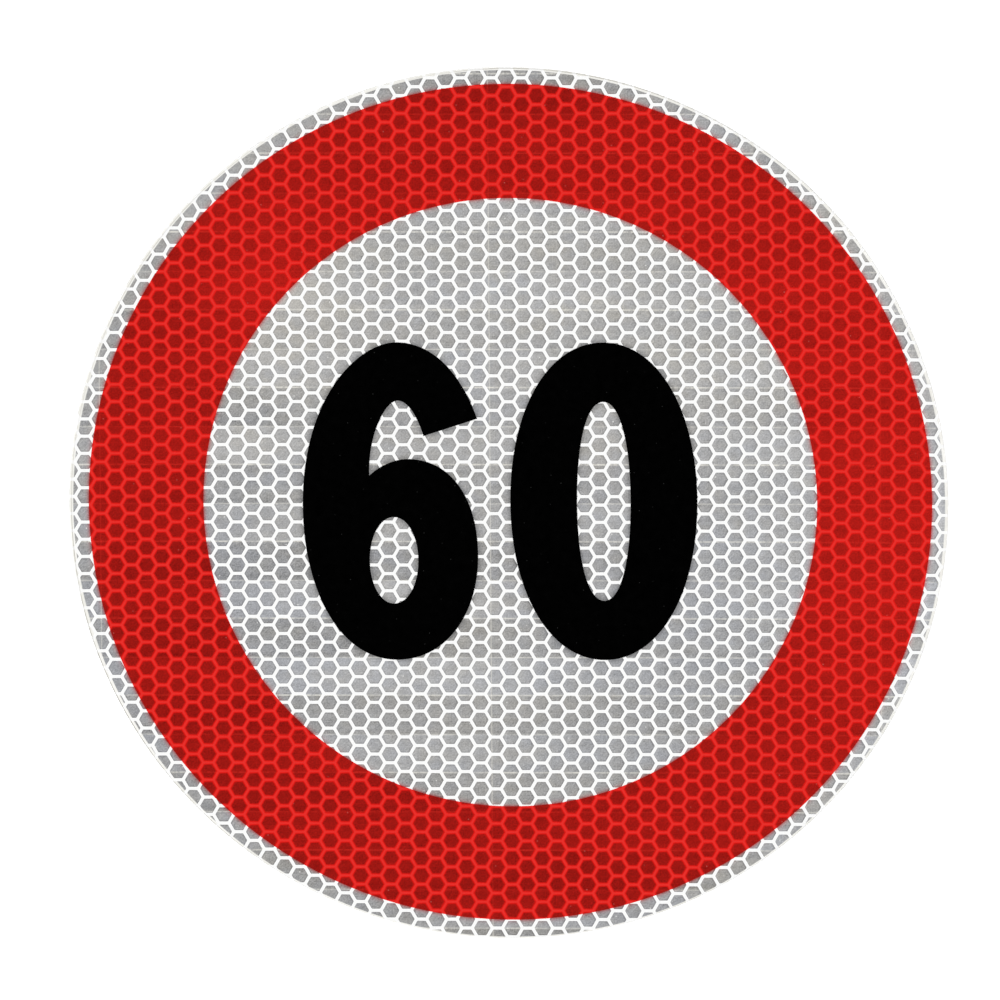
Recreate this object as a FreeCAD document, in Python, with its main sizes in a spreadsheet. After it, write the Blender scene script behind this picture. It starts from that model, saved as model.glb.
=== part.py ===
import FreeCAD, Part
import os
import Sketcher

# Round speed limit disc for a vehicle, showing 60: a thin self-adhesive reflective sheet made of two films,
# with a red ring and two black digits printed on its face. Lengths are in millimetres.
# The disc lies flat with its printed face up, along +Z. The tops of the digits point along +Y.
# The origin is the centre of the back face.

# Driving dimensions: name, value, meaning
SIZES = [
    ("disc_diameter", 200.0, "diameter of the white backing film, and of the disc"),
    ("backing_thick", 0.20, "thickness of the backing film with its adhesive"),
    ("prism_thick", 0.25, "thickness of the prism film that faces the viewer"),
    ("prism_setback", 0.15, "how far the prism film's edge stands inside the backing's edge"),
    ("pinch_width", 0.65, "width of the rim band that the cutting die pressed down"),
    ("pinch_depth", 0.12, "how far that band is pressed down at the edge"),
    ("ring_outer", 191.75, "outer diameter of the red ring"),
    ("ring_inner", 139.5, "inner diameter of the red ring"),
    ("ring_right", 0.4, "print offset of the ring to the right of the disc's centre"),
    ("ring_up", 0.25, "print offset of the ring above the disc's centre"),
    ("ring_thick", 0.05, "thickness of the red print"),
    ("digit_thick", 0.06, "thickness of the black print"),
    ("digit_height", 72.8, "height of both digits"),
    ("digit_drop", 35.85, "how far the digits' feet lie below the disc's centre"),
    ("six_start", 46.75, "how far the six's left side lies to the left of the disc's centre"),
    ("six_width", 39.8, "overall width of the six"),
    ("digit_gap", 7.4, "clear space between the two digits"),
    ("side_stroke", 15.15, "stroke at the nought's sides and at the six's left side"),
    ("nought_width", 42.5, "overall width of the nought"),
    ("nought_crown", 13.6, "stroke at the nought's top and foot"),
    ("nought_flat_pull", 0.575, "handle of the nought's outline at its top and foot"),
    ("nought_side_pull", 0.59, "handle of the nought's outline at its sides"),
    ("counter_flat_pull", 0.645, "handle of the nought's counter at its top and foot"),
    ("counter_side_pull", 0.57, "handle of the nought's counter at its sides"),
    ("six_top_flat_pull", 0.38, "handle of the six's upper left quarter at its top"),
    ("six_top_side_pull", 0.68, "handle of the same quarter at the left side"),
    ("six_foot_side_pull", 0.53, "handle of the six's lower left quarter at the left side"),
    ("six_foot_flat_pull", 0.635, "handle of the same quarter at the foot"),
    ("hook_side_pull", 0.57, "handle of the hook's inner quarter at its side"),
    ("hook_flat_pull", 0.38, "handle of the same quarter at its top"),
    ("six_top_place", 21.45, "where the six's top lies, from its left side"),
    ("six_top_stroke", 13.35, "stroke at the six's top"),
    ("six_side_height", 35.3, "height of the six's leftmost point"),
    ("six_foot_place", 21.3, "where the six's lowest point lies, from its left side"),
    ("six_hook_place", 21.65, "where the top of the hook's inner curve lies, from the left side"),
    ("six_hook_drop", 29.55, "how far the hook's inner curve comes down before it runs straight"),
    ("tip_place", 39.75, "where the hook's outer tip lies, from the left side"),
    ("tip_drop", 17.5, "how far the outer tip lies below the six's top"),
    ("tip_cut", 12.8, "length of the slanting cut that ends the hook"),
    ("tip_angle", 18.0, "slant of that cut, in degrees"),
    ("tip_pull", 4.75, "handle of the hook's outer curve at the tip, as a length"),
    ("top_pull", 11.45, "handle of the hook's outer curve at the top, as a length"),
    ("inner_tip_pull", 2.35, "handle of the hook's inner curve at the tip, as a length"),
    ("inner_top_pull", 3.2, "handle of the hook's inner curve at its top, as a length"),
    ("bowl_height", 46.05, "height of the six's bowl"),
    ("bowl_top_place", 24.05, "where the bowl's top lies, from the left side"),
    ("bowl_side_height", 23.9, "height of the bowl's rightmost point"),
    ("bowl_root", 7.9, "where the bowl's left end is buried in the hook, from the left side"),
    ("bowl_stroke", 13.6, "stroke at the bowl's right side"),
    ("bowl_top_stroke", 13.3, "stroke at the bowl's top"),
    ("bowl_foot_stroke", 12.9, "stroke at the six's foot"),
    ("bowl_side_pull", 0.665, "handle of the bowl's upper right quarter at its side"),
    ("bowl_top_pull", 0.54, "handle of the same quarter at the bowl's top"),
    ("bowl_shoulder_pull", 0.49, "handle of the bowl's upper left quarter at the bowl's top"),
    ("bowl_root_pull", 0.6, "handle of the bowl's left quarters at the buried end"),
    ("bowl_foot_pull", 0.58, "handle of the bowl's lower quarters at the foot"),
    ("bowl_low_side_pull", 0.575, "handle of the bowl's lower right quarter at its side"),
    ("bowl_counter_pull", 0.565, "handle of the bowl's counter, all round"),
]

# Points of a sketch, as its constraints number them
AXES = -1
START = 1
END = 2
CENTRE = 3


def make_sheet(doc):
    sheet = doc.addObject("Spreadsheet::Sheet", "Sizes")
    for row, (name, value, meaning) in enumerate(SIZES, start=1):
        sheet.set(f"A{row}", name)
        sheet.set(f"B{row}", str(value))
        sheet.set(f"C{row}", meaning)
        sheet.setAlias(f"B{row}", name)
    doc.recompute()


def size(name):
    """The sheet's cell of that name, as a formula writes it."""
    return f"Sizes.{name}"


def make_body(doc, label, height="0"):
    """An empty body that stands at the given height above the back face."""
    body = doc.addObject("PartDesign::Body", label)
    body.Label = label
    body.setExpression("Placement.Base.z", height)
    return body


def make_sketch(body, name, plane_role="XY_Plane"):
    sketch = body.newObject("Sketcher::SketchObject", name)
    plane = next(item for item in body.Origin.OriginFeatures if item.Role == plane_role)
    sketch.AttachmentSupport = [(plane, "")]
    sketch.MapMode = "FlatFace"
    return sketch


def vector(sketch, point):
    """The place of a point whose two coordinates are formulas."""
    across, along = (float(sketch.evalExpression(formula)) for formula in point)
    return FreeCAD.Vector(across, along, 0)


def hold(sketch, geometry, end, point):
    """Holds one point of a sketch where its two formulas say."""
    here = vector(sketch, point)
    for kind, formula, value in zip(("DistanceX", "DistanceY"), point, here):
        index = sketch.addConstraint(Sketcher.Constraint(kind, AXES, START, geometry, end, value))
        sketch.setExpression(f"Constraints[{index}]", formula)


def circle(sketch, middle, diameter):
    radius = float(sketch.evalExpression(diameter)) / 2
    index = sketch.addGeometry(Part.Circle(vector(sketch, middle), FreeCAD.Vector(0, 0, 1), radius), False)
    hold(sketch, index, CENTRE, middle)
    across = sketch.addConstraint(Sketcher.Constraint("Diameter", index, 2 * radius))
    sketch.setExpression(f"Constraints[{across}]", diameter)


def outline(sketch, stretches):
    """Draws a closed chain. A stretch is a list of points: its start, and a cubic curve's two handles too.
    Each stretch ends where the next one starts, and the last one ends where the first one starts."""
    drawn = []
    for stretch, following in zip(stretches, stretches[1:] + stretches[:1]):
        points = [vector(sketch, point) for point in stretch + following[:1]]
        if len(stretch) == 1:
            index = sketch.addGeometry(Part.LineSegment(*points), False)
            hold(sketch, index, START, stretch[0])
        else:
            curve = Part.BezierCurve()
            curve.setPoles(points)
            index = sketch.addGeometry(curve.toBSpline(), False)
            first_pole = sketch.GeometryCount
            sketch.exposeInternalGeometry(index)
            for number, point in enumerate(stretch):
                hold(sketch, first_pole + number, CENTRE, point)
        drawn.append(index)
    for index, following in zip(drawn, drawn[1:] + drawn[:1]):
        sketch.addConstraint(Sketcher.Constraint("Coincident", index, END, following, START))


def between(first, last, share):
    return f"({first}) + (({last}) - ({first})) * {share}"


def quarter_from_flat(start, end, flat_pull, side_pull):
    """A quarter turn that leaves start level and meets end upright. A pull is the handle's share of the
    way to the corner that the two tangents make."""
    return [start, (between(start[0], end[0], flat_pull), start[1]), (end[0], between(end[1], start[1], side_pull))]


def quarter_from_side(start, end, side_pull, flat_pull):
    """The same quarter turn the other way: it leaves start upright and meets end level."""
    return [start, (start[0], between(start[1], end[1], side_pull)), (between(end[0], start[0], flat_pull), end[1])]


def oval(sketch, left, right, foot, top, flat_pull, side_pull):
    """A closed oval of four quarter turns between its four outermost points."""
    middle_across = f"(({left}) + ({right})) / 2"
    middle_along = f"(({foot}) + ({top})) / 2"
    crown = (middle_across, top)
    left_side = (left, middle_along)
    base = (middle_across, foot)
    right_side = (right, middle_along)
    outline(sketch, [
        quarter_from_flat(crown, left_side, flat_pull, side_pull),
        quarter_from_side(left_side, base, side_pull, flat_pull),
        quarter_from_flat(base, right_side, flat_pull, side_pull),
        quarter_from_side(right_side, crown, side_pull, flat_pull),
    ])


def pad(body, sketch, name, height):
    feature = body.newObject("PartDesign::Pad", name)
    feature.Profile = sketch
    feature.setExpression("Length", height)
    return feature


def pocket_through(body, sketch, name):
    feature = body.newObject("PartDesign::Pocket", name)
    feature.Profile = sketch
    feature.Type = "ThroughAll"
    feature.Midplane = True
    return feature


# White backing film: a plain disc whose sealed side shows between the cells and as the thin lip at the rim
def make_backing_film(doc):
    body = make_body(doc, "backing_film")
    sketch = make_sketch(body, "backing_outline")
    circle(sketch, ("0", "0"), size("disc_diameter"))
    pad(body, sketch, "backing_pad", size("backing_thick"))
    return body


# Prism film: turned about the disc's axis, because the die pressed its rim down to a slope with a low edge
def make_prism_film(doc):
    body = make_body(doc, "prism_film", size("backing_thick"))
    sketch = make_sketch(body, "prism_section", "XZ_Plane")
    edge = f"{size('disc_diameter')} / 2 - {size('prism_setback')}"
    shoulder = f"{edge} - {size('pinch_width')}"
    top = size("prism_thick")
    low_edge = f"{top} - {size('pinch_depth')}"
    outline(sketch, [[("0", "0")], [(edge, "0")], [(edge, low_edge)], [(shoulder, top)], [("0", top)]])
    turned = body.newObject("PartDesign::Revolution", "prism_turned")
    turned.Profile = sketch
    turned.ReferenceAxis = (sketch, ["V_Axis"])
    turned.Angle = 360
    return body


def face_height():
    return f"{size('backing_thick')} + {size('prism_thick')}"


# Red ring: a band of print between two circles
def make_red_ring(doc):
    body = make_body(doc, "red_ring", face_height())
    sketch = make_sketch(body, "ring_outline")
    middle = (size("ring_right"), size("ring_up"))
    circle(sketch, middle, size("ring_outer"))
    circle(sketch, middle, size("ring_inner"))
    pad(body, sketch, "ring_pad", size("ring_thick"))
    return body


def make_digit(doc, label, left):
    """A body whose own origin is the digit's lower left corner."""
    body = make_body(doc, label, face_height())
    body.setExpression("Placement.Base.x", left)
    body.setExpression("Placement.Base.y", f"-{size('digit_drop')}")
    return body


# Nought: an upright oval with a narrower oval counter
def make_digit_0(doc):
    left = f"{size('six_width')} + {size('digit_gap')} - {size('six_start')}"
    body = make_digit(doc, "digit_0", left)
    width = size("nought_width")
    height = size("digit_height")
    side = size("side_stroke")
    crown = size("nought_crown")
    outside = make_sketch(body, "nought_outline")
    oval(outside, "0", width, "0", height, size("nought_flat_pull"), size("nought_side_pull"))
    pad(body, outside, "nought_pad", size("digit_thick"))
    inside = make_sketch(body, "nought_counter")
    oval(inside, side, f"{width} - {side}", crown, f"{height} - {crown}",
         size("counter_flat_pull"), size("counter_side_pull"))
    pocket_through(body, inside, "nought_pocket")
    return body


def make_hook(body):
    """The six's long stroke: from the slanting cut over the top and down the left side to the foot. Its inner
    edge runs straight down inside the bowl."""
    top = size("digit_height")
    across = f"cos({size('tip_angle')} * 1deg)"
    along = f"sin({size('tip_angle')} * 1deg)"
    outer_tip = (size("tip_place"), f"{top} - {size('tip_drop')}")
    inner_tip = (f"{outer_tip[0]} - {size('tip_cut')} * {across}", f"{outer_tip[1]} - {size('tip_cut')} * {along}")

    def above(tip, pull):
        """The handle that leaves a tip square to the slanting cut."""
        return (f"{tip[0]} - {pull} * {along}", f"{tip[1]} + {pull} * {across}")

    crown = (size("six_top_place"), top)
    left_side = ("0", size("six_side_height"))
    foot = (size("six_foot_place"), "0")
    buried = (size("side_stroke"), size("bowl_side_height"))
    inner_side = (size("side_stroke"), f"{top} - {size('six_hook_drop')}")
    inner_crown = (size("six_hook_place"), f"{top} - {size('six_top_stroke')}")
    sketch = make_sketch(body, "hook_outline")
    outline(sketch, [
        [outer_tip, above(outer_tip, size("tip_pull")), (f"{crown[0]} + {size('top_pull')}", top)],
        quarter_from_flat(crown, left_side, size("six_top_flat_pull"), size("six_top_side_pull")),
        quarter_from_side(left_side, foot, size("six_foot_side_pull"), size("six_foot_flat_pull")),
        [foot],
        [buried],
        quarter_from_side(inner_side, inner_crown, size("hook_side_pull"), size("hook_flat_pull")),
        [inner_crown, (f"{inner_crown[0]} + {size('inner_top_pull')}", inner_crown[1]),
         above(inner_tip, size("inner_tip_pull"))],
        [inner_tip],
    ])
    pad(body, sketch, "hook_pad", size("digit_thick"))


def make_bowl(body):
    """The six's round bowl, its left end buried in the hook, and the counter through both."""
    right_side = (size("six_width"), size("bowl_side_height"))
    crown = (size("bowl_top_place"), size("bowl_height"))
    root = (size("bowl_root"), size("bowl_side_height"))
    foot = (size("six_foot_place"), "0")
    sketch = make_sketch(body, "bowl_outline")
    outline(sketch, [
        quarter_from_side(right_side, crown, size("bowl_side_pull"), size("bowl_top_pull")),
        quarter_from_flat(crown, root, size("bowl_shoulder_pull"), size("bowl_root_pull")),
        quarter_from_side(root, foot, size("bowl_root_pull"), size("bowl_foot_pull")),
        quarter_from_flat(foot, right_side, size("bowl_foot_pull"), size("bowl_low_side_pull")),
    ])
    pad(body, sketch, "bowl_pad", size("digit_thick"))
    counter = make_sketch(body, "bowl_counter")
    pull = size("bowl_counter_pull")
    oval(counter, size("side_stroke"), f"{size('six_width')} - {size('bowl_stroke')}",
         size("bowl_foot_stroke"), f"{size('bowl_height')} - {size('bowl_top_stroke')}", pull, pull)
    pocket_through(body, counter, "bowl_pocket")


# Six: a hooked stroke with a slanting cut end, joined to a round bowl with an oval counter
def make_digit_6(doc):
    body = make_digit(doc, "digit_6", f"-{size('six_start')}")
    make_hook(body)
    make_bowl(body)
    return body


def check(doc, bodies):
    """Stops before anything is written if an object failed or a shape isn't one valid solid."""
    for item in doc.Objects:
        if "Invalid" in item.State or "Error" in item.State:
            raise RuntimeError(f"{item.Name} failed: {item.State}")
    for body in bodies:
        shape = body.Shape
        if shape.isNull() or not shape.isValid() or len(shape.Solids) != 1:
            raise RuntimeError(f"{body.Label} is not one valid solid")


def check_cut(body, pocket_name):
    """A pocket has to take something away."""
    pocket = body.Document.getObject(pocket_name)
    if pocket.Shape.Volume >= pocket.BaseFeature.Shape.Volume:
        raise RuntimeError(f"{pocket_name} cuts nothing")


def main():
    doc = FreeCAD.newDocument("SpeedDisc")
    make_sheet(doc)
    digit_6 = make_digit_6(doc)
    digit_0 = make_digit_0(doc)
    bodies = [make_backing_film(doc), make_prism_film(doc), make_red_ring(doc), digit_6, digit_0]
    doc.recompute()
    check(doc, bodies)
    check_cut(digit_6, "bowl_pocket")
    check_cut(digit_0, "nought_pocket")
    os.makedirs("parts", exist_ok=True)
    for body in bodies:
        body.Shape.exportStep(f"parts/{body.Label}.step")
        box = body.Shape.BoundBox
        print(f"{body.Label}: volume {body.Shape.Volume:.2f}, "
              f"x {box.XMin:.2f} to {box.XMax:.2f}, y {box.YMin:.2f} to {box.YMax:.2f}, "
              f"z {box.ZMin:.3f} to {box.ZMax:.3f}")


main()
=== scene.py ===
# Looks of the round speed limit disc: honeycomb film, red ring, black digits, white back and the stage
import math
from collections import namedtuple

import bmesh
import bpy
from mathutils import Matrix, Vector
from mathutils.bvhtree import BVHTree
from mathutils.kdtree import KDTree


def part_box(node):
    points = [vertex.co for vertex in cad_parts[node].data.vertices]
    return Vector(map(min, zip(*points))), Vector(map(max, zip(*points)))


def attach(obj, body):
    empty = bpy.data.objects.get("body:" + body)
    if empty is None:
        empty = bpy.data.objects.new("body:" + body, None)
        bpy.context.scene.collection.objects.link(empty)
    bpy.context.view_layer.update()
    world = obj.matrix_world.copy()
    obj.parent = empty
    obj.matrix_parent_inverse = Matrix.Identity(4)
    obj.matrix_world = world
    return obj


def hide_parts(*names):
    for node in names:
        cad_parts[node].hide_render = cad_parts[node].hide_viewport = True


Relief = namedtuple("Relief", "seal slope rise")
Ring = namedtuple("Ring", "middle inner outer")

# One millimetre in metres: the sizes and places below are in millimetres, from the middle of the disc
MM = 0.001
DISC_RADIUS = 100.0
MIDDLE = Vector((0.0, 0.0))
UPWARD = Vector((0.0, 0.0, 1.0))

# Distance between cells down a column and between columns, and the place of one cell
PITCH = 3.9625
COLUMN_STEP = PITCH * math.sqrt(0.75)
FIRST_CELL = Vector((0.0528, 1.6883))

# Half the width of a seal, the width of the slope beside it, and the height of a cell above it
FILM = Relief(seal=0.365, slope=0.245, rise=0.04)
PRINT = Relief(seal=0.22, slope=0.58, rise=0.02)

# Corner radii of a cell's foot, of its top and of the loops inside its top, and those loops' apothems
FOOT_CORNER = 0.22
TOP_CORNER = 0.18
LOOP_CORNER = 0.15
LOOP_APOTHEMS = (0.85, 0.42)

# How far inside a digit's outline the centre of a cell lies that the digit covers
COVERED_DEPTH = 0.75 * PITCH

# Inner radius of the ring
RING_INNER = 69.75

# The lip that the cutting die pressed down: its start, its end, its drop and the power that curves it
LIP_START = 99.2
LIP_END = 99.85
LIP_DROP = 0.12
LIP_POWER = 6

# Shares of the lip's width at which its faces meet
LIP_STEPS = (0.0, 0.8, 1.0)

# Height of the tiles of prisms in the film, the place of one joint, and the width of a strip of tiles
TILE = 8.87
TILE_JOINT = 0.06
STRIP = 10 * TILE

# Distance at which points are joined, and the most that a point on a circle may be off it
JOIN_DISTANCE = 0.01
CIRCLE_SLACK = 1e-5

# Space between measured points along a digit's outline, and the most that they may lie below its top
OUTLINE_STEP = 0.25
TOP_SLACK = 0.001


def rounded_hexagon(apothem, corner_radius):
    """Points of a flat-topped hexagon about its centre, three at each rounded corner"""
    reach = (apothem - corner_radius) / math.cos(math.pi / 6)
    points = []
    for corner in range(6):
        for turn in (-30, 0, 30):
            towards = math.radians(60 * corner)
            spread = math.radians(60 * corner + turn)
            x = reach * math.cos(towards) + corner_radius * math.cos(spread)
            y = reach * math.sin(towards) + corner_radius * math.sin(spread)
            points.append(Vector((x, y)))
    return points


def sharp_hexagon(apothem):
    """Corners of a flat-topped hexagon about its centre"""
    reach = apothem / math.cos(math.pi / 6)
    angles = [math.radians(60 * corner) for corner in range(6)]
    return [Vector((reach * math.cos(angle), reach * math.sin(angle))) for angle in angles]


def cell_centres(reach):
    """Centres of the cells that lie within reach of the disc's centre"""
    columns = math.ceil(reach / COLUMN_STEP) + 1
    rows = math.ceil(reach / PITCH) + 2
    for column in range(-columns, columns + 1):
        lift = PITCH / 2 if column % 2 else 0.0
        for row in range(-rows, rows + 1):
            centre = FIRST_CELL + Vector((column * COLUMN_STEP, row * PITCH + lift))
            if centre.length < reach:
                yield centre


def draw_of_the_film(x, y):
    """Where a place in the even honeycomb lies once the film has been drawn over its rollers

    Each number is a shift in millimetres, and most of them are reached only at the rim."""
    across = x / DISC_RADIUS
    up = y / DISC_RADIUS
    bowed = 0.133 - 0.39 * across ** 2 - 0.13 * up ** 3
    fanned = across * (0.32 * up ** 2 - 0.17 * up)
    stretched = 0.306 * up ** 2 + 1.03 * up ** 3 - 0.527 * up - 0.0226
    sagged = -0.08 * across ** 3 - 0.2 * across ** 4
    return x + bowed + fanned, y + stretched + sagged


def distance_to_digits(nodes):
    """A way to get how far a place is from the edge of the nearest digit, less than nought inside it"""
    places = []
    trees = []
    for node in nodes:
        mesh = node.data
        top = max(vert.co.z for vert in mesh.vertices)
        bm = bmesh.new()
        bm.from_mesh(mesh)
        trees.append(BVHTree.FromBMesh(bm))
        for edge in bm.edges:
            start, end = (vert.co for vert in edge.verts)
            if edge.is_boundary and min(start.z, end.z) > top - TOP_SLACK * MM:
                count = math.ceil((end - start).length / (OUTLINE_STEP * MM))
                places += [start.lerp(end, step / count).xy for step in range(count)]
        bm.free()
    edge_tree = KDTree(len(places))
    for number, place in enumerate(places):
        edge_tree.insert((place.x, place.y, 0.0), number)
    edge_tree.balance()

    def distance(x, y):
        place = Vector((x * MM, y * MM, 0.0))
        nearest = edge_tree.find(place)[2] / MM
        inside = any(tree.ray_cast(place + UPWARD, -UPWARD)[0] for tree in trees)
        return -nearest if inside else nearest

    return distance


def add_loop(bm, centre, points, height, depth):
    """Puts points round a centre, which keep their depth in the cell and their place in it

    A point at depth nought belongs to several cells, so it keeps no place in any of them."""
    depths = bm.verts.layers.float["depth"]
    rights = bm.verts.layers.float["right"]
    ups = bm.verts.layers.float["up"]
    verts = []
    for point in points:
        vert = bm.verts.new((centre.x + point.x, centre.y + point.y, height))
        vert[depths] = depth
        if depth > 0:
            vert[rights] = point.x
            vert[ups] = point.y
        verts.append(vert)
    return verts


def add_band(bm, outer, inner):
    """Faces between two loops with as many points"""
    for place in range(len(outer)):
        after = (place + 1) % len(outer)
        bm.faces.new((outer[place], outer[after], inner[after], inner[place]))


def add_seal(bm, tile, foot):
    """Faces of a cell's half of the seals, from its corners to the three points for each at its foot"""
    for corner in range(6):
        outer = tile[corner]
        following = tile[(corner + 1) % 6]
        first, middle, last = foot[3 * corner:3 * corner + 3]
        bm.faces.new((outer, middle, first))
        bm.faces.new((outer, last, middle))
        bm.faces.new((outer, following, foot[(3 * corner + 3) % 18], last))


def add_cell(bm, centre, relief, low, is_fine):
    """One raised cell: its half of the seals, its slope and its top, which may be in smaller faces"""
    half = PITCH / 2
    high = low + relief.rise
    depth = relief.seal + relief.slope
    tile = add_loop(bm, centre, sharp_hexagon(half), low, 0.0)
    foot = add_loop(bm, centre, rounded_hexagon(half - relief.seal, FOOT_CORNER), low, relief.seal)
    top = add_loop(bm, centre, rounded_hexagon(half - depth, TOP_CORNER), high, depth)
    add_seal(bm, tile, foot)
    add_band(bm, foot, top)
    if is_fine:
        for apothem in LOOP_APOTHEMS:
            inner = add_loop(bm, centre, rounded_hexagon(apothem, LOOP_CORNER), high, depth)
            add_band(bm, top, inner)
            top = inner
    bm.faces.new(top)


def add_plain_cell(bm, centre, low):
    """A cell that doesn't show, as a plain hexagon"""
    bm.faces.new(add_loop(bm, centre, sharp_hexagon(PITCH / 2), low, 0.0))


def meeting_place(start, end, centre, radius):
    """Share of the way from start to end at which a line crosses a circle"""
    way = end - start
    away = start - centre
    half_b = away.dot(way)
    root = math.sqrt(half_b ** 2 - way.length_squared * (away.length_squared - radius ** 2))
    shares = [(-half_b - root) / way.length_squared, (-half_b + root) / way.length_squared]
    return next(share for share in shares if 0 <= share <= 1)


def split_at_marks(face, is_outside):
    """Splits a face between the marked points where its outline leaves a circle and comes back"""
    verts = list(face.verts)
    marks = [place for place, vert in enumerate(verts) if vert.tag]
    for number, start in enumerate(marks):
        end = marks[(number + 1) % len(marks)]
        count = (end - start) % len(verts)
        between = [verts[(start + step) % len(verts)] for step in range(1, count)]
        rest = len(verts) - count - 1
        if between and rest > 0 and all(is_outside(vert) for vert in between):
            bmesh.utils.face_split(face, verts[start], verts[end])
            return


def cut_circle(bm, centre, radius):
    """Cuts the sheet along a circle, so that edges follow it"""
    def gap(vert):
        return (vert.co.xy - centre).length - radius

    for vert in bm.verts:
        vert.tag = abs(gap(vert)) < CIRCLE_SLACK
    for edge in list(bm.edges):
        start, end = edge.verts
        if start.tag or end.tag or gap(start) * gap(end) > 0:
            continue
        share = meeting_place(start.co.xy, end.co.xy, centre, radius)
        bmesh.utils.edge_split(edge, start, share)[1].tag = True
    for face in list(bm.faces):
        if sum(vert.tag for vert in face.verts) >= 2:
            split_at_marks(face, lambda vert: not vert.tag and gap(vert) > 0)


def keep_between(bm, centre, inner, outer):
    """Takes away all faces that lie nearer than inner or farther than outer"""
    gone = []
    for face in bm.faces:
        distance = (face.calc_center_median().xy - centre).length
        if not inner < distance < outer:
            gone.append(face)
    bmesh.ops.delete(bm, geom=gone, context="FACES")


def close_below(bm, height):
    """Adds walls from the sheet's edges down to a flat underside"""
    edges = [edge for edge in bm.edges if edge.is_boundary]
    skirt = bmesh.ops.extrude_edge_only(bm, edges=edges)["geom"]
    for item in skirt:
        if isinstance(item, bmesh.types.BMVert):
            item.co.z = height
    foot = [item for item in skirt if isinstance(item, bmesh.types.BMEdge) and item.is_boundary]
    bmesh.ops.triangle_fill(bm, use_beauty=True, use_dissolve=False, edges=foot)


def honeycomb(relief, low, is_plain, is_fine):
    """A sheet of cells over the whole disc, whose points keep how high they were in the even film"""
    bm = bmesh.new()
    for name in ("depth", "right", "up", "even_y"):
        bm.verts.layers.float.new(name)
    even_y = bm.verts.layers.float["even_y"]
    for centre in cell_centres(LIP_END + PITCH):
        if is_plain(centre):
            add_plain_cell(bm, centre, low)
        else:
            add_cell(bm, centre, relief, low, is_fine(centre))
    bmesh.ops.remove_doubles(bm, verts=bm.verts, dist=JOIN_DISTANCE)
    for vert in bm.verts:
        vert[even_y] = vert.co.y
        vert.co.x, vert.co.y = draw_of_the_film(vert.co.x, vert.co.y)
    return bm


def put_in_order(items, place_of):
    """Sorts the points or the faces of a mesh by place, so that each run gives the same mesh"""
    in_order = sorted(items, key=lambda item: tuple(place_of(item)))
    rank = {item: number for number, item in enumerate(in_order)}
    items.sort(key=rank.get)


def make_piece(name, bm, material):
    """Turns a closed sheet in millimetres into a piece of the object"""
    bmesh.ops.recalc_face_normals(bm, faces=bm.faces)
    put_in_order(bm.verts, lambda vert: vert.co)
    put_in_order(bm.faces, lambda face: face.calc_center_median())
    bm.transform(Matrix.Scale(MM, 4))
    mesh = bpy.data.meshes.new(name)
    bm.to_mesh(mesh)
    bm.free()
    mesh.materials.append(material)
    piece = bpy.data.objects.new(name, mesh)
    bpy.context.scene.collection.objects.link(piece)
    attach(piece, "root")
    return piece


def press_lip(bm):
    """Presses the sheet down towards the rim, more and more steeply, and cuts it off there"""
    for step in LIP_STEPS:
        cut_circle(bm, MIDDLE, LIP_START + step * (LIP_END - LIP_START))
    keep_between(bm, MIDDLE, 0.0, LIP_END)
    for vert in bm.verts:
        share = (vert.co.xy.length - LIP_START) / (LIP_END - LIP_START)
        vert.co.z -= LIP_DROP * max(share, 0.0) ** LIP_POWER


def make_film(material, ring, digit_distance):
    """The prism film: raised cells between sealed ribs, with its rim pressed down"""
    bottom, top = (corner.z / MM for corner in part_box("prism_film"))

    def is_covered(centre):
        under_ring = ring.inner + PITCH < (centre - ring.middle).length < ring.outer - PITCH
        return under_ring or digit_distance(*centre) < -COVERED_DEPTH

    def is_beside_digit(centre):
        return abs(digit_distance(*centre)) < PITCH

    bm = honeycomb(FILM, top, is_covered, is_beside_digit)
    to_digit = bm.verts.layers.float.new("to_digit")
    for vert in bm.verts:
        vert[to_digit] = digit_distance(vert.co.x, vert.co.y)
    press_lip(bm)
    close_below(bm, bottom)
    film = make_piece("honeycomb_film", bm, material)
    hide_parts("prism_film")


def make_ring(material, ring):
    """The red ring: print that follows the cells below it"""
    bottom, top = (corner.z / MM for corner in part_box("red_ring"))

    def is_away(centre):
        return not ring.inner - PITCH < (centre - ring.middle).length < ring.outer + PITCH

    bm = honeycomb(PRINT, top - PRINT.rise, is_away, lambda centre: False)
    cut_circle(bm, ring.middle, ring.inner)
    cut_circle(bm, ring.middle, ring.outer)
    keep_between(bm, ring.middle, ring.inner, ring.outer)
    close_below(bm, bottom)
    piece = make_piece("honeycomb_ring", bm, material)
    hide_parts("red_ring")


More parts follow.
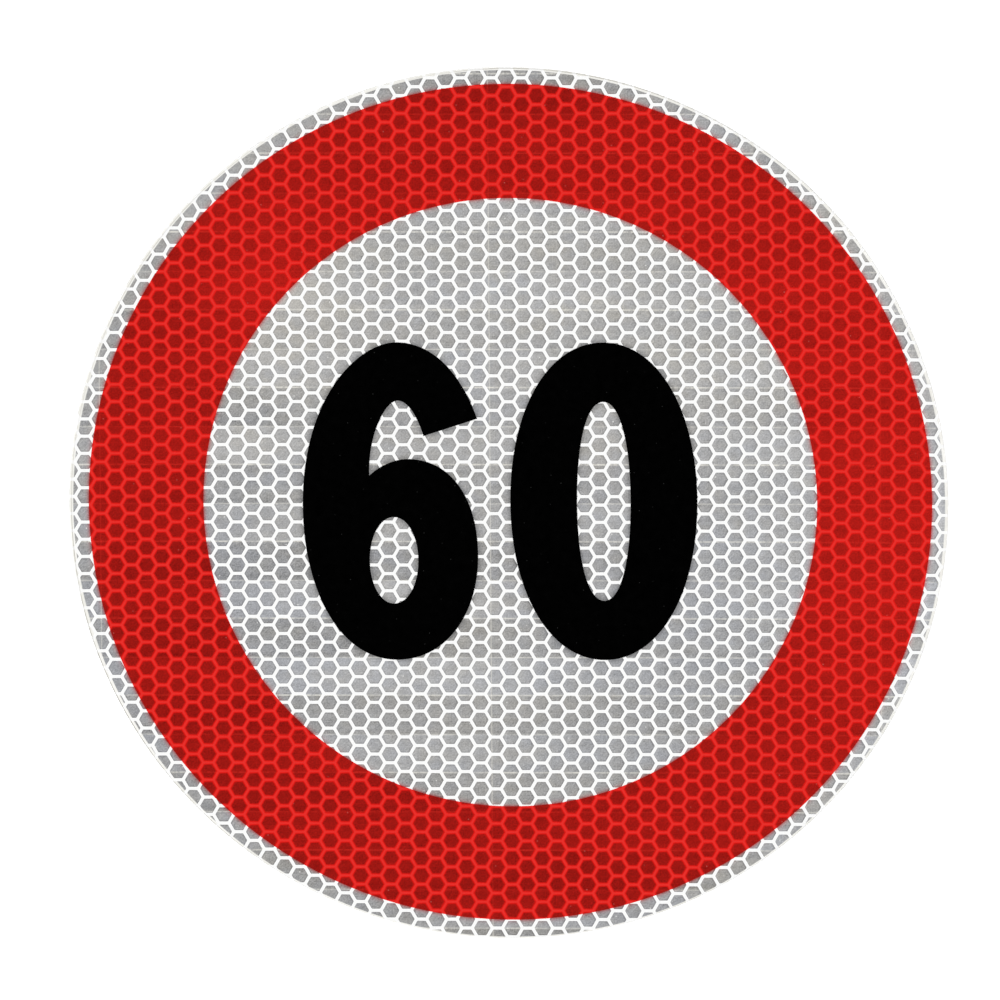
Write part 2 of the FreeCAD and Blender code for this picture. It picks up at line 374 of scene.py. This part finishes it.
class Nodes:
    """A tree of nodes that are joined up as they are made"""

    def __init__(self, tree):
        self.tree = tree

    def put(self, socket, value):
        """Sets an input to a number or a colour, or joins it to an output"""
        if isinstance(value, bpy.types.NodeSocket):
            self.tree.links.new(value, socket)
        else:
            socket.default_value = value

    def vector(self, operation, first, second=None, scale=None):
        """Result of a calculation with vectors"""
        node = self.tree.nodes.new("ShaderNodeVectorMath")
        node.operation = operation
        self.put(node.inputs[0], first)
        if second is not None:
            self.put(node.inputs[1], second)
        if scale is not None:
            self.put(node.inputs["Scale"], scale)
        return node.outputs["Value" if operation == "DISTANCE" else "Vector"]

    def split(self, vector):
        """The three numbers of a vector"""
        node = self.tree.nodes.new("ShaderNodeSeparateXYZ")
        self.put(node.inputs[0], vector)
        return node.outputs

    def join(self, x, y, z):
        """A vector of three numbers"""
        node = self.tree.nodes.new("ShaderNodeCombineXYZ")
        for socket, value in zip(node.inputs, (x, y, z)):
            self.put(socket, value)
        return node.outputs[0]

    def math(self, operation, *values):
        """Result of a calculation with numbers"""
        node = self.tree.nodes.new("ShaderNodeMath")
        node.operation = operation
        for socket, value in zip(node.inputs, values):
            self.put(socket, value)
        return node.outputs[0]

    def total(self, first, *others):
        """Sum of several numbers"""
        result = first
        for value in others:
            result = self.math("ADD", result, value)
        return result

    def product(self, first, *others):
        """Several numbers multiplied"""
        result = first
        for value in others:
            result = self.math("MULTIPLY", result, value)
        return result

    def weighted(self, *parts, start=0.0):
        """Sum of a start and of several numbers, each times its weight"""
        result = start
        for value, weight in parts:
            result = self.math("MULTIPLY_ADD", value, weight, result)
        return result

    def gap(self, first, second):
        """How far apart two numbers are"""
        return self.math("ABSOLUTE", self.math("SUBTRACT", first, second))

    def blend(self, value, start, end, low=0.0, high=1.0):
        """Goes smoothly from low, where value is at start, to high, where it is at end"""
        node = self.tree.nodes.new("ShaderNodeMapRange")
        node.interpolation_type = "SMOOTHSTEP"
        names = ("Value", "From Min", "From Max", "To Min", "To Max")
        for name, number in zip(names, (value, start, end, low, high)):
            self.put(node.inputs[name], number)
        return node.outputs["Result"]

    def mix(self, share, first, second):
        """A colour between two others"""
        node = self.tree.nodes.new("ShaderNodeMix")
        node.data_type = "RGBA"
        sockets = {socket.identifier: socket for socket in node.inputs}
        self.put(sockets["Factor_Float"], share)
        self.put(sockets["A_Color"], first)
        self.put(sockets["B_Color"], second)
        return next(socket for socket in node.outputs if socket.type == "RGBA")

    def noise_at(self, place, detail):
        """Soft random tone from minus one to one"""
        node = self.tree.nodes.new("ShaderNodeTexNoise")
        self.put(node.inputs["Vector"], place)
        node.inputs["Scale"].default_value = 1.0
        node.inputs["Detail"].default_value = detail
        return self.math("MULTIPLY_ADD", node.outputs["Fac"], 2.0, -1.0)


class Finish(Nodes):
    """The nodes of one material, with places in millimetres"""

    def __init__(self, name):
        self.material = bpy.data.materials.new(name)
        self.material.use_nodes = True
        super().__init__(self.material.node_tree)
        self.surface = self.tree.nodes["Principled BSDF"]
        place = self.tree.nodes.new("ShaderNodeTexCoord").outputs["Object"]
        self.place = self.vector("SCALE", place, scale=1 / MM)
        numbers = self.split(self.place)
        self.x = numbers["X"]
        self.y = numbers["Y"]

    def kept(self, name):
        """A number that is kept with the points of the mesh"""
        node = self.tree.nodes.new("ShaderNodeAttribute")
        node.attribute_name = name
        return node.outputs["Fac"]

    def distance_from(self, middle):
        """Distance from an upright line through a place"""
        across = self.math("SUBTRACT", self.x, middle.x)
        up = self.math("SUBTRACT", self.y, middle.y)
        return self.math("SQRT", self.total(self.product(across, across), self.product(up, up)))

    def noise(self, across, up, seed=0.0, detail=2.0):
        """Soft random tone from minus one to one, with so many millimetres to a patch across and up"""
        place = self.join(self.math("DIVIDE", self.x, across), self.math("DIVIDE", self.y, up), seed)
        return self.noise_at(place, detail)

    def as_share(self, tone):
        """A tone from minus one to one as a share from nought to one"""
        return self.weighted((tone, 0.5), start=0.5)

    def patches(self, places, start):
        """A start, to which each place adds its strength, less with distance and none at its radius"""
        result = start
        for x, y, radius, strength in places:
            distance = self.vector("DISTANCE", self.place, (x, y, 0.0))
            result = self.weighted((self.blend(distance, radius, 0.0), strength), start=result)
        return result

    def lines(self, place, offset, spacing, width):
        """One on thin repeated lines, which fade to nought over their width"""
        along = self.math("DIVIDE", self.math("SUBTRACT", place, offset), spacing)
        nearest = self.gap(along, self.math("ROUND", along))
        return self.blend(nearest, width / spacing, 0.0)

    def fading(self, distance, reach, strength, most):
        """Falls to about a third with each reach of distance from an edge, and never passes its most"""
        share = self.math("POWER", math.exp(-1 / reach), distance)
        return self.math("MINIMUM", self.product(share, strength), most)

    def dust(self, spacing, radius, strength):
        """Tiny scattered specks, about so many millimetres apart, each as strong as this or less"""
        node = self.tree.nodes.new("ShaderNodeTexVoronoi")
        node.voronoi_dimensions = "2D"
        node.inputs["Scale"].default_value = 1.0
        self.put(node.inputs["Vector"], self.vector("SCALE", self.place, scale=1 / spacing))
        speck = self.blend(node.outputs["Distance"], radius / spacing, 0.3 * radius / spacing)
        own_strength = self.split(node.outputs["Color"])["X"]
        return self.product(speck, own_strength, strength)

    def relief(self, height, strength, distance):
        """Fine unevenness of the surface"""
        node = self.tree.nodes.new("ShaderNodeBump")
        node.inputs["Strength"].default_value = strength
        node.inputs["Distance"].default_value = distance * MM
        self.put(node.inputs["Height"], height)
        self.put(self.surface.inputs["Normal"], node.outputs["Normal"])

    def set(self, **inputs):
        """Sets inputs of the surface by name"""
        for name, value in inputs.items():
            self.put(self.surface.inputs[name.replace("_", " ")], value)


def colour(red, green, blue):
    """A colour in the form that the nodes take"""
    return (red, green, blue, 1.0)


# Wide changes of the film's brightness: place, radius and strength
BRIGHT_PATCHES = [
    (-50, 45, 35, 0.17),
    (-55, 55, 10, 0.09),
    (15, 40, 55, 0.11),
    (70, 45, 55, 0.11),
    (100, -10, 65, 0.22),
    (-75, -30, 50, -0.11),
    (-65, -105, 70, -0.14),
    (-5, -40, 20, 0.06),
    (35, -30, 45, -0.05),
    (10, -105, 75, -0.11),
    (-5, 110, 50, -0.16),
    (-85, 40, 40, -0.04),
]

# Wide changes of the film's warmth: place, radius and strength
WARM_PATCHES = [
    (-50, 45, 35, 0.8),
    (15, 40, 55, 0.3),
    (70, 45, 55, 0.3),
    (100, -10, 65, -0.7),
    (-75, -30, 50, -0.9),
    (35, -30, 45, -0.5),
    (-10, 30, 40, -0.3),
]

# Where the rows of tiles take turns to be dark and light: place, radius and strength
TURNS = [
    (-35, -30, 55, 0.10),
    (-60, 15, 20, 0.10),
    (10, -110, 45, 0.06),
]

# Where the thin brown line near the rim shows on the lip: place, radius and strength
RIM_LINE_PLACES = [
    (-90, -40, 90, 1.0),
    (-80, 60, 60, 0.6),
    (15, 100, 55, 0.9),
    (55, 80, 30, 0.4),
]

# Least and greatest radius of the thin line near the rim, and the mean radius where the white weld
# starts
RIM_LINE_INNER = 99.42
RIM_LINE_OUTER = 99.8
WELD_RADIUS = 99.24

# Colours that the cells and seals of the film and the lip go between
CELL_GREYS = (colour(0.359, 0.366, 0.386), colour(0.377, 0.365, 0.342))
SEAL_WHITES = (colour(0.935, 0.935, 0.930), colour(0.955, 0.955, 0.950))
LIP_CREAMS = (colour(0.84, 0.83, 0.78), colour(0.93, 0.92, 0.88))

# Colours of the film's joints, its dust and the thin line near the rim, and tints of the painted
# reflection of the red print: none away from the ring and red at it
JOINT_CREAM = colour(0.80, 0.78, 0.71)
DUST_WHITE = colour(0.85, 0.85, 0.82)
RIM_LINE_BROWN = colour(0.36, 0.34, 0.29)
NO_TINT = colour(1.0, 1.0, 1.0)
PAINTED_RED_TINT = colour(1.06, 0.0, 0.0)

# Colours that the ring's seals and the bands beside them go between, then its cells, joints and dust
SEAL_REDS = (colour(0.75, 0.0290, 0.0235), colour(0.79, 0.0310, 0.0255))
BAND_REDS = (colour(0.75, 0.0086, 0.0060), colour(0.79, 0.0090, 0.0064))
CELL_RED = colour(0.342, 0.0084, 0.0058)
JOINT_RED = colour(0.74, 0.03, 0.02)
DUST_RED = colour(0.85, 0.30, 0.26)

# Colours of the digits and the dust on them, and those that the back goes between
INK_BLACKS = (colour(0.0001, 0.0001, 0.0001), colour(0.0004, 0.0004, 0.0004))
DUST_GREY = colour(0.5, 0.5, 0.5)
BACK_WHITES = (colour(0.90, 0.90, 0.885), colour(0.95, 0.95, 0.945))


def tile_row(finish):
    """Number of the row of tiles that a place is in"""
    above_joint = finish.math("SUBTRACT", finish.kept("even_y"), TILE_JOINT)
    return finish.math("FLOOR", finish.math("DIVIDE", above_joint, TILE))


def turn_of_row(finish, row):
    """One in every second row of tiles, and minus one in the rows between"""
    is_odd = finish.math("FLOORED_MODULO", row, 2.0)
    return finish.weighted((is_odd, 2.0), start=-1.0)


def tile_brightness(finish, contrast):
    """Change of the film's brightness by place: wide patches, and rows of tiles that differ in turn"""
    row = tile_row(finish)
    turned = finish.product(turn_of_row(finish, row), finish.patches(TURNS, start=0.03))
    # Rows lie far apart in this noise, so each has a tone of its own
    row_place = finish.join(finish.math("DIVIDE", finish.x, 45.0), finish.product(row, 3.7), 0.0)
    return finish.weighted(
        (turned, contrast),
        (finish.noise_at(row_place, detail=1.0), 0.10),
        (finish.noise(7.0, 5.0, seed=7.0, detail=1.0), 0.09),
        (finish.noise(45.0, 1.6, seed=8.0, detail=1.0), 0.13),
        start=finish.patches(BRIGHT_PATCHES, start=0.0),
    )


def tile_warmth(finish):
    """Warmth of the film by place: wide and small patches, and low down every second row cooler"""
    turn = turn_of_row(finish, tile_row(finish))
    return finish.weighted(
        (turn, finish.blend(finish.y, -5.0, -35.0, 0.0, -0.3)),
        (finish.noise(30.0, 9.0, seed=4.0), 1.0),
        (finish.noise(4.5, 3.5, seed=13.0), 1.1),
        start=finish.patches(WARM_PATCHES, start=0.0),
    )


def joint_lines(finish):
    """The pale lines where tiles meet, broken here and there, and the dark band above every other one"""
    even_y = finish.kept("even_y")

    def level_line(offset, width):
        return finish.lines(even_y, TILE_JOINT + offset, 2 * TILE, width)

    def upright_line(place, width):
        return finish.lines(finish.x, place, STRIP, width)

    patchy = finish.blend(finish.noise(9.0, 3.0, seed=9.0), -0.5, 0.5, 0.35, 1.0)
    broken = finish.blend(finish.noise(0.7, 5.0, seed=10.0), -0.4, 0.15, 0.3, 1.0)
    level = finish.weighted((level_line(-0.06, 0.25), 0.7), start=level_line(TILE + 0.08, 0.31))
    pale = finish.weighted(
        (upright_line(-4.12, 0.23), 0.45),
        (upright_line(-5.6, 0.3), 0.0675),
        start=finish.product(level, patchy, broken),
    )
    return pale, level_line(0.7, 0.75)


def fine_streaks(finish, strength):
    """Brightness of the streaks inside the cells, of this strength, and of the finer grain"""
    rising = finish.math("DIVIDE", finish.math("ADD", finish.x, finish.y), 4.0)
    falling = finish.math("DIVIDE", finish.math("SUBTRACT", finish.x, finish.y), 0.42)
    streaks = finish.weighted(
        (finish.noise(0.3, 2.5, seed=1.0), 0.17),
        (finish.noise(1.8, 0.4, seed=2.0), 0.19),
        (finish.noise_at(finish.join(rising, falling, 0.0), detail=1.0), 0.22),
        (finish.noise(1.4, 1.1, seed=11.0), 0.16),
    )
    grain = finish.noise(0.32, 0.32, seed=3.0, detail=1.0)
    return finish.weighted((streaks, strength), (grain, 0.52))


def cell_tone(finish, contrast, streakiness, darkening):
    """Brightness of the cells by place, and how strongly the pale joints show over them"""
    pale, dark = joint_lines(finish)
    streaks = fine_streaks(finish, streakiness)
    tone = finish.total(tile_brightness(finish, contrast), streaks, 1.0)
    return finish.weighted((dark, -darkening), start=tone), pale


def painted_cell_shading(finish):
    """Painted shade and light over a film cell, as if lit from the left: a dark outline, darkest low
    down, a lighter band inside it, and a top that dims up and right
    """
    right = finish.kept("right")
    up = finish.kept("up")
    level = finish.math("ABSOLUTE", up)
    slanted = finish.weighted((finish.math("ABSOLUTE", right), math.sqrt(0.75)), (level, 0.5))
    inward = finish.math("SUBTRACT", PITCH / 2, finish.math("MAXIMUM", level, slanted))
    painted_outline = finish.blend(inward, 0.78, 0.38, 1.0, finish.weighted((up, 0.075), start=0.77))
    sideways = finish.weighted((finish.x, -0.0011), start=-0.04)
    # painted shade on the side turned away from a light on the left, stronger towards the disc's right
    painted_side_shade = finish.weighted((up, -0.042), (right, sideways))
    near_outline = finish.blend(inward, 0.88, 0.62)
    # painted lighter band just inside the outline
    painted_edge_light = finish.blend(inward, 1.15, 0.8, 1.0, 1.035)
    top = finish.weighted((right, -0.028), (painted_side_shade, near_outline), start=painted_edge_light)
    return finish.product(painted_outline, top)


def rim_line(finish, clouds, is_cell):
    """A thin brown line here and there on the lip near the rim, strongest over cells"""
    low_down = finish.blend(finish.y, 0.0, -35.0, RIM_LINE_INNER, RIM_LINE_OUTER)
    on_the_right = finish.blend(finish.x, -40.0, 40.0, RIM_LINE_INNER, RIM_LINE_OUTER)
    radius = finish.math("MAXIMUM", low_down, on_the_right)
    off_line = finish.gap(finish.distance_from(MIDDLE), radius)
    return finish.product(
        finish.patches(RIM_LINE_PLACES, start=0.0),
        finish.weighted((is_cell, 0.4), start=0.6),
        finish.weighted((clouds, 0.4), start=0.6),
        finish.blend(off_line, 0.16, 0.04),
    )


def lip_colour(finish, seal, is_cell):
    """White of the pressed lip, creamy over cells, with a thin brown line near the rim"""
    clouds = finish.blend(finish.noise(16.0, 16.0, seed=12.0), -0.4, 0.4)
    lip = finish.mix(is_cell, seal, finish.mix(clouds, *LIP_CREAMS))
    return finish.mix(rim_line(finish, clouds, is_cell), lip, RIM_LINE_BROWN)


def beyond_weld(finish):
    """How far a place lies beyond the line from which the film is welded white right to the rim"""
    across = finish.math("DIVIDE", finish.x, DISC_RADIUS)
    up = finish.math("DIVIDE", finish.y, DISC_RADIUS)
    bulge = finish.math("SUBTRACT", finish.product(across, across), finish.product(up, up))
    line = finish.weighted((across, 0.11), (up, -0.13), (bulge, -0.15), start=WELD_RADIUS)
    return finish.math("SUBTRACT", finish.distance_from(MIDDLE), line)


def beside_ring(finish, ring):
    """How far a place lies from the ring's nearer edge, less than nought under it"""
    from_middle = finish.distance_from(ring.middle)
    outside = finish.math("SUBTRACT", from_middle, ring.outer)
    inside = finish.math("SUBTRACT", ring.inner, from_middle)
    return finish.math("MAXIMUM", outside, inside)


def film_cell_colour(finish, ring):
    """Grey of the cells with painted shade, a painted shadow beside the digits and a painted pink
    reflection beside the ring, with pale joints and dust
    """
    tone, pale = cell_tone(finish, contrast=1.0, streakiness=1.0, darkening=0.07)
    # painted shadow of the black print, falling into the cells beside the digits
    painted_digit_shadow = finish.fading(finish.kept("to_digit"), reach=0.42, strength=0.72, most=0.33)
    # painted shade and light over each cell, and the painted shadow beside the digits
    tone = finish.product(tone, painted_cell_shading(finish), finish.math("SUBTRACT", 1.0, painted_digit_shadow))
    warm_share = finish.weighted((tile_warmth(finish), 0.6), start=0.5)
    cell = finish.vector("SCALE", finish.mix(warm_share, *CELL_GREYS), scale=tone)
    # painted reflection of the red print, tinting the cells beside the ring pink
    painted_red_reflection = finish.fading(beside_ring(finish, ring), reach=0.35, strength=0.84, most=0.6)
    cell = finish.vector("MULTIPLY", cell, finish.mix(painted_red_reflection, NO_TINT, PAINTED_RED_TINT))
    cell = finish.mix(finish.product(pale, 0.92), cell, JOINT_CREAM)
    return finish.mix(finish.dust(spacing=8.0, radius=0.22, strength=0.8), cell, DUST_WHITE)


def gloss(finish, roughness, bump):
    """Clear glossy face of the film or the print, finely uneven"""
    finish.set(Roughness=roughness, Coat_Weight=0.5, Coat_Roughness=0.08)
    finish.relief(finish.noise(0.22, 0.22, seed=6.0), strength=bump, distance=0.02)


def film_finish(ring):
    """White seals and grey glossy cells, white where the lip is pressed down"""
    finish = Finish("honeycomb_film")
    grain = finish.noise(1.5, 1.5, seed=5.0)
    seal = finish.mix(finish.as_share(grain), *SEAL_WHITES)
    is_cell = finish.blend(finish.kept("depth"), FILM.seal - 0.01, FILM.seal + 0.02)
    face = finish.mix(is_cell, seal, film_cell_colour(finish, ring))
    on_lip = finish.blend(beyond_weld(finish), -0.1, 0.1)
    finish.set(Base_Color=finish.mix(on_lip, face, lip_colour(finish, seal, is_cell)))
    gloss(finish, finish.weighted((grain, 0.06), start=0.28), bump=0.15)
    return finish.material


def ring_cell_colour(finish):
    """Dark red of the print over cells, with brighter joints and dust"""
    tone, pale = cell_tone(finish, contrast=0.7, streakiness=0.75, darkening=0.03)
    cell = finish.vector("SCALE", CELL_RED[:3], scale=tone)
    cell = finish.mix(finish.product(pale, 0.47), cell, JOINT_RED)
    return finish.mix(finish.dust(spacing=9.0, radius=0.2, strength=0.3), cell, DUST_RED)


def ring_finish():
    """See-through red over the film: pale red on the seals, a bright band beside them, and dark cells"""
    finish = Finish("red_print")
    grain = finish.noise(1.5, 1.5, seed=5.0)
    share = finish.as_share(grain)
    depth = finish.weighted((finish.kept("right"), 0.033), start=finish.kept("depth"))
    seal = finish.mix(share, *SEAL_REDS)
    band = finish.mix(share, *BAND_REDS)
    beside_cell = finish.mix(finish.blend(depth, 0.02, 0.42), seal, band)
    is_cell = finish.blend(depth, 0.21, 0.70)
    finish.set(Base_Color=finish.mix(is_cell, beside_cell, ring_cell_colour(finish)))
    gloss(finish, finish.weighted((grain, 0.05), start=0.2), bump=0.12)
    return finish.material


def digit_finish():
    """Deep black glossy print, with a little pale dust"""
    finish = Finish("black_print")
    grain = finish.noise(2.0, 2.0)
    ink = finish.mix(finish.as_share(grain), *INK_BLACKS)
    dust = finish.dust(spacing=6.0, radius=0.16, strength=0.05)
    finish.set(Base_Color=finish.mix(dust, ink, DUST_GREY))
    finish.set(Roughness=finish.weighted((grain, 0.05), start=0.14))
    finish.relief(finish.noise(0.5, 0.5, seed=6.0), strength=0.08, distance=0.01)
    return finish.material


def backing_finish():
    """White film, with faint clouds in the adhesive on its back"""
    finish = Finish("white_backing")
    clouds = finish.noise(9.0, 9.0, detail=4.0)
    grain = finish.noise(0.6, 0.6, seed=2.0)
    share = finish.weighted((clouds, 0.5), (grain, 0.2), start=0.5)
    finish.set(Base_Color=finish.mix(share, *BACK_WHITES))
    finish.set(Roughness=finish.weighted((grain, 0.1), start=0.45))
    finish.relief(finish.total(clouds, grain), strength=0.2, distance=0.03)
    return finish.material


def dress(node, material):
    """Gives a carried-over solid its finish"""
    mesh = node.data
    mesh.materials.clear()
    mesh.materials.append(material)


# The stage in metres: how far the floor reaches, and the distance and size of the lamps
FLOOR_REACH = 30.0
LAMP_DISTANCE = 6.0
LAMP_SIZE = 3.0

# How far the floor lies below the disc, and how high the film's face lies, which the camera looks at
FLOOR_GAP = 0.02
FACE_HEIGHT = 0.45

# Half of the full strength of the surroundings
HALF_STRENGTH = 0.5

# The camera: which way its picture's right and up and its back point, its distance, shift and lens
CAMERA_RIGHT = Vector((0.99847, -0.00659, -0.05487))
CAMERA_UP = Vector((-0.00135, 0.98966, -0.1434))
CAMERA_BACK = Vector((0.05524, 0.14326, 0.98814))
CAMERA_DISTANCE = 6676.0
CAMERA_SHIFT = Vector((-1.871, 0.815))
CAMERA_LENS = 1058.8


def floor_finish():
    """Matt white, with a faint glow of its own that only the camera and reflections see"""
    material = bpy.data.materials.new("floor")
    material.use_nodes = True
    nodes = Nodes(material.node_tree)
    path = nodes.tree.nodes.new("ShaderNodeLightPath").outputs
    seen = nodes.math("MAXIMUM", path["Is Camera Ray"], path["Is Glossy Ray"])
    seen = nodes.math("MAXIMUM", seen, path["Is Transmission Ray"])
    surface = nodes.tree.nodes["Principled BSDF"].inputs
    nodes.put(surface["Base Color"], colour(0.93, 0.93, 0.93))
    nodes.put(surface["Roughness"], 0.9)
    nodes.put(surface["Specular IOR Level"], 0.0)
    nodes.put(surface["Emission Color"], colour(1.0, 1.0, 1.0))
    nodes.put(surface["Emission Strength"], nodes.product(seen, 0.45))
    return material


def make_floor():
    """A wide white floor under the disc that keeps its shadow"""
    bm = bmesh.new()
    bmesh.ops.create_grid(bm, x_segments=1, y_segments=1, size=FLOOR_REACH)
    mesh = bpy.data.meshes.new("floor")
    bm.to_mesh(mesh)
    bm.free()
    mesh.materials.append(floor_finish())
    floor = bpy.data.objects.new("floor", mesh)
    floor.location.z = -FLOOR_GAP * MM
    bpy.context.scene.collection.objects.link(floor)


def add_lamp(name, direction, power):
    """A large soft square lamp that shines at the disc"""
    lamp = bpy.data.lights.new(name, "AREA")
    lamp.shape = "SQUARE"
    lamp.size = LAMP_SIZE
    lamp.energy = power
    holder = bpy.data.objects.new(name, lamp)
    towards = Vector(direction).normalized()
    holder.location = towards * LAMP_DISTANCE
    holder.rotation_euler = towards.to_track_quat("Z", "Y").to_euler()
    holder.visible_camera = False
    bpy.context.scene.collection.objects.link(holder)


def make_sky():
    """Surroundings that are white at the horizon, pale all round and dark overhead"""
    world = bpy.data.worlds.new("surroundings")
    bpy.context.scene.world = world
    world.use_nodes = True
    nodes = Nodes(world.node_tree)
    place = nodes.tree.nodes.new("ShaderNodeTexCoord").outputs["Generated"]
    height = nodes.split(place)["Z"]
    horizon = nodes.blend(height, 0.16, 0.04, 0.0, HALF_STRENGTH)
    dome = nodes.blend(height, 0.94, 0.82, 0.0, HALF_STRENGTH)
    background = nodes.tree.nodes["Background"].inputs
    nodes.put(background["Color"], colour(1.0, 1.0, 1.0))
    nodes.put(background["Strength"], nodes.total(horizon, dome))


def make_camera():
    """The camera of the picture: nearly straight above, leaning a little to the right and to the top"""
    camera = bpy.data.cameras.new("camera")
    camera.lens = CAMERA_LENS
    camera.sensor_width = 36.0
    camera.clip_start = 0.1
    camera.clip_end = 100.0
    aim = UPWARD * FACE_HEIGHT + CAMERA_RIGHT * CAMERA_SHIFT.x + CAMERA_UP * CAMERA_SHIFT.y
    place = aim + CAMERA_BACK * CAMERA_DISTANCE
    turn = Matrix((CAMERA_RIGHT, CAMERA_UP, CAMERA_BACK)).transposed()
    holder = bpy.data.objects.new("camera", camera)
    holder.matrix_world = Matrix.Translation(place * MM) @ turn.to_4x4()
    bpy.context.scene.collection.objects.link(holder)
    bpy.context.scene.camera = holder


bpy.context.scene.view_settings.view_transform = "Standard"
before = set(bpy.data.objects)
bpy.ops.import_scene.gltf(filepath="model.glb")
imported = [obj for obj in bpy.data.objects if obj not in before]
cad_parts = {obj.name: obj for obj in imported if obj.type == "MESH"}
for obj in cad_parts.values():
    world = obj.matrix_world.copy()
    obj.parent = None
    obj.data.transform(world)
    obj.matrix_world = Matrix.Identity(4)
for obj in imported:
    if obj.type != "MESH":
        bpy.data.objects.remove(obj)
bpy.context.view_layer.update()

low, high = (corner.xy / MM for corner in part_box("red_ring"))
ring = Ring(middle=(low + high) / 2, inner=RING_INNER, outer=(high.x - low.x) / 2)
digit_distance = distance_to_digits([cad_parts["digit_6"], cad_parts["digit_0"]])
make_film(film_finish(ring), ring, digit_distance)
make_ring(ring_finish(), ring)
dress(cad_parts["backing_film"], backing_finish())
black = digit_finish()
dress(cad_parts["digit_6"], black)
dress(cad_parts["digit_0"], black)

make_floor()
add_lamp("key_lamp", (-0.75, 0.10, 0.65), power=235.0)
add_lamp("fill_lamp", (0.75, -0.10, 0.65), power=181.0)
make_sky()
make_camera()
